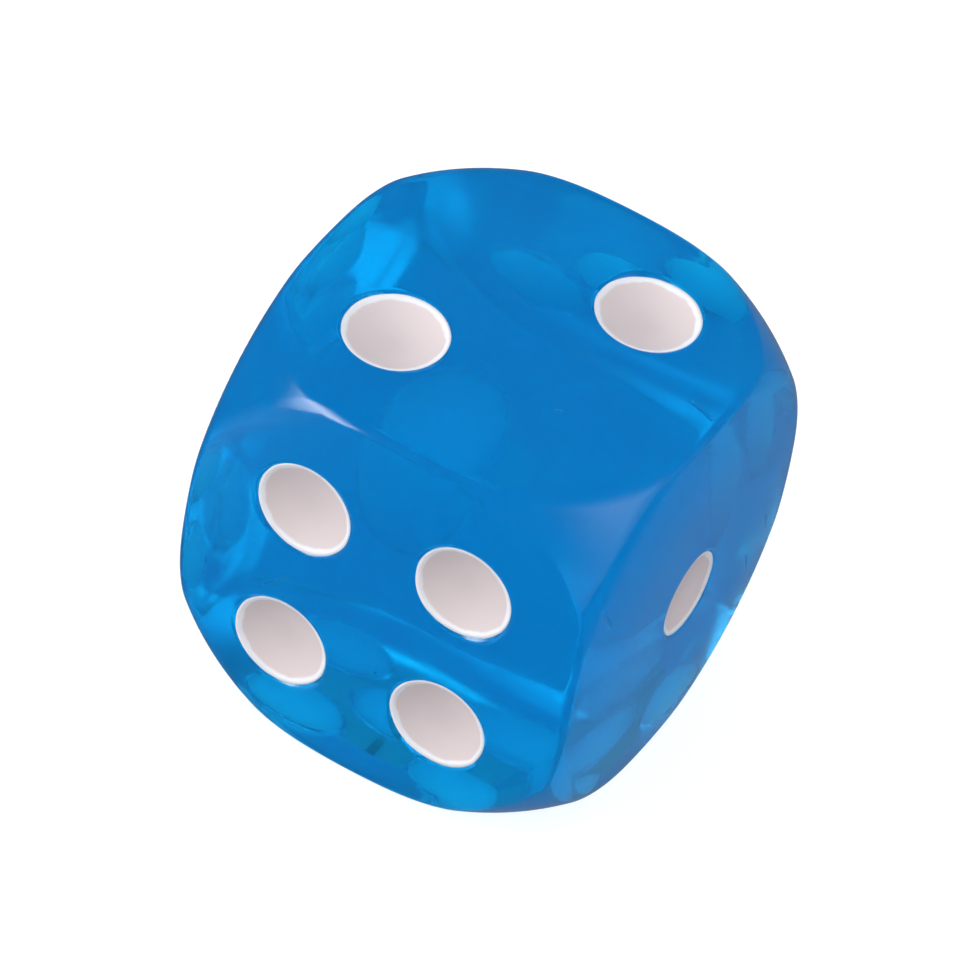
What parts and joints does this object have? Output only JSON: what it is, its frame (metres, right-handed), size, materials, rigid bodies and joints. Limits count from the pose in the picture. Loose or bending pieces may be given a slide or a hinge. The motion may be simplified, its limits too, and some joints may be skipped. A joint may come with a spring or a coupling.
{
  "type": "rounded corner playing die",
  "caption": "Rounded-corner playing die: clear blue plastic cube with white-painted spherical dimples for spots, opposite faces adding up to seven.",
  "frame": {"origin": "centre of the die", "axes": "+Z out of the two face, -Z out of the five face it rests on, +X out of the one face, -Y out of the four face"},
  "size_m": [0.016, 0.016, 0.016],
  "materials": {
    "clear_blue_plastic": "polished see-through acrylic, tinted blue all through",
    "white_paint": "satin white paint, slightly warm"
  },
  "bodies": {
    "root": {"body": "clear_blue_plastic", "paint_one": "white_paint", "paint_two_a": "white_paint", "paint_two_b": "white_paint", "paint_three_a": "white_paint", "paint_three_b": "white_paint", "paint_three_c": "white_paint", "paint_four_a": "white_paint", "paint_four_b": "white_paint", "paint_four_c": "white_paint", "paint_four_d": "white_paint", "paint_five_a": "white_paint", "paint_five_b": "white_paint", "paint_five_c": "white_paint", "paint_five_d": "white_paint", "paint_five_e": "white_paint", "paint_six_a": "white_paint", "paint_six_b": "white_paint", "paint_six_c": "white_paint", "paint_six_d": "white_paint", "paint_six_e": "white_paint", "paint_six_f": "white_paint"}
  },
  "joints": []
}
